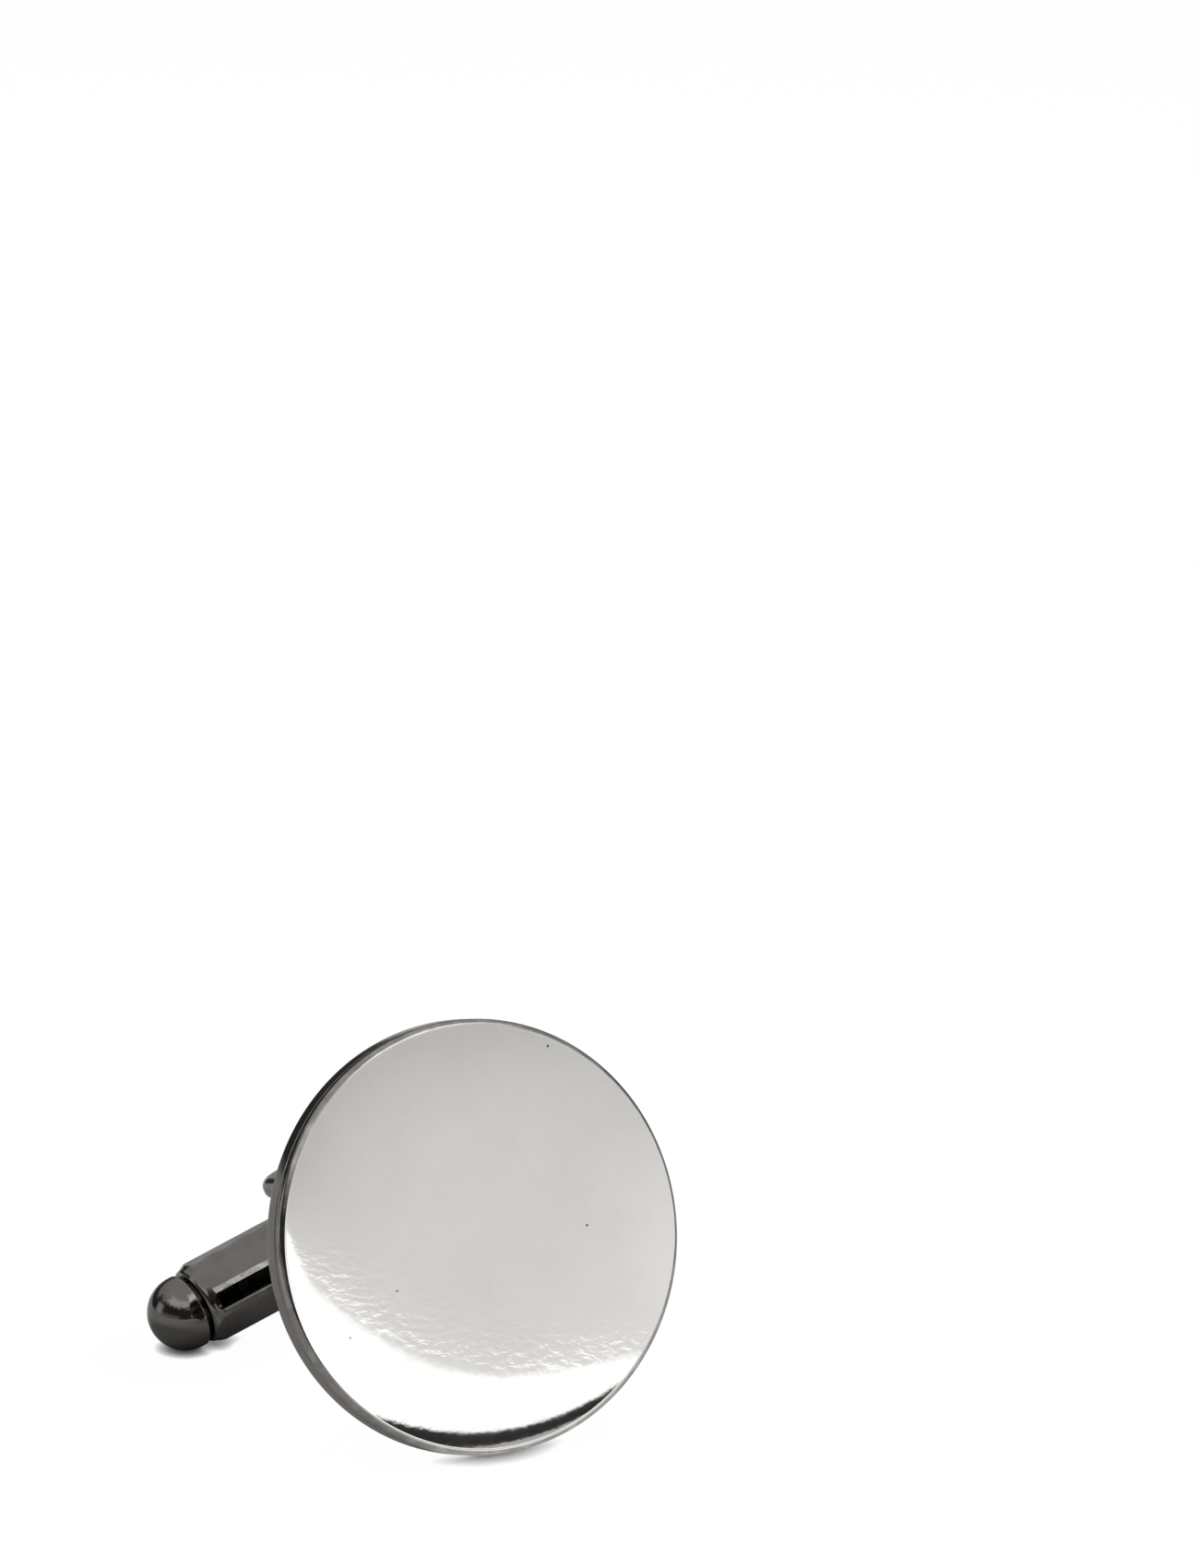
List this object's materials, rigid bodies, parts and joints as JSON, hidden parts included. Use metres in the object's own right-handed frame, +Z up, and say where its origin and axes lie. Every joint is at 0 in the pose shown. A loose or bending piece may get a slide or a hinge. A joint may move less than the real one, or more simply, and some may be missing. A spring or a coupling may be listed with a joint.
{
  "type": "cufflink",
  "caption": "Round polished cufflink with a forked flat stem and a faceted, dome-ended swivel toggle bar that turns crosswise to hold a cuff.",
  "frame": {"origin": "on the table, under the middle of the part's box as it lies at rest on the edge of its head, its lower leg and the left end of its toggle", "axes": "+Z up from the table; the face looks towards -Y and leans back; +X to the right of someone who looks at the face; the toggle's left end is at -X"},
  "size_m": [0.0184, 0.0216, 0.0178],
  "materials": {
    "polished_face": "polished to a mirror",
    "dark_plating": "dark gunmetal plating, polished",
    "pin_steel": "plain pin, peened flush",
    "dark_washer": "dark plated",
    "spring_steel": "bright spring steel",
    "adhesive": "cured adhesive"
  },
  "bodies": {
    "head_and_stem": {"face_plate": "polished_face", "face_adhesive": "adhesive", "head_case": "dark_plating", "stem_bridge": "dark_plating", "upper_leg": "dark_plating", "lower_leg": "dark_plating", "pivot_pin": "pin_steel", "pivot_washers": "dark_washer"},
    "toggle": {"toggle_barrel": "dark_plating", "left_end_cap": "dark_plating", "right_end_cap": "dark_plating", "detent_spring": "spring_steel"}
  },
  "joints": [
    {"name": "toggle_swivel", "type": "hinge", "parent": "head_and_stem", "child": "toggle", "pos_m": [0, 0.00761, 0.00378], "axis": [-0.3008, 0.3136, 0.9006], "range_deg": [-90, 90]}
  ]
}
